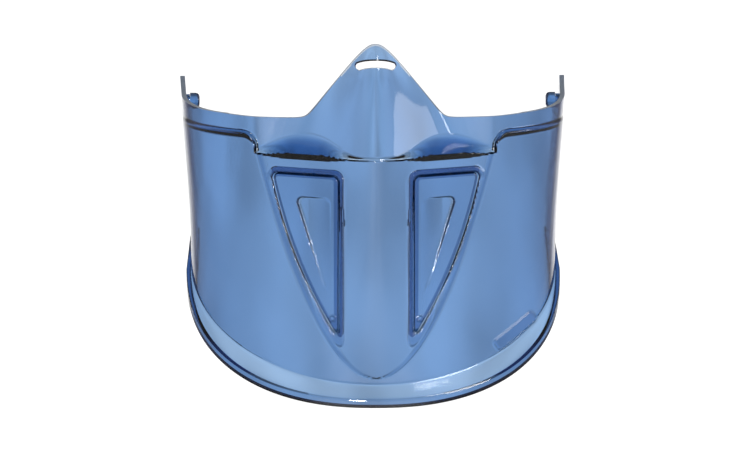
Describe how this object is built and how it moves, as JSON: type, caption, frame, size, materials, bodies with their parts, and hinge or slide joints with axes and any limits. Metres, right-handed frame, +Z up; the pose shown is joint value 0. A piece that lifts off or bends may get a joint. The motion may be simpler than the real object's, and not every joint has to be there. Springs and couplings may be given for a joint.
{
  "type": "lower face visor",
  "caption": "Clear blue-tinted visor for the nose, cheeks and chin, clipping under safety goggles by a nose slot and side studs.",
  "frame": {"origin": "bottom centre of the bounding box, level with the lowest point of the rim under the chin", "axes": "+X across the face to the wearer's left, -Y to the front, +Z up"},
  "size_m": [0.1758, 0.106, 0.163],
  "materials": {
    "shell_plastic": "gloss",
    "panel_plastic": "gloss",
    "stud_plastic": "gloss"
  },
  "bodies": {
    "visor": {"visor_shell": "shell_plastic", "left_window_panel": "panel_plastic", "right_window_panel": "panel_plastic"},
    "left_stud": {"left_side_stud": "stud_plastic"},
    "right_stud": {"right_side_stud": "stud_plastic"}
  },
  "joints": [
    {"name": "left_stud_turn", "type": "hinge", "parent": "visor", "child": "left_stud", "pos_m": [0.0846, 0.042, 0.1285], "axis": [1, 0, 0], "range_deg": [0, 45]},
    {"name": "right_stud_turn", "type": "hinge", "parent": "visor", "child": "right_stud", "pos_m": [-0.0846, 0.042, 0.1285], "axis": [1, 0, 0], "range_deg": [0, 45]}
  ]
}
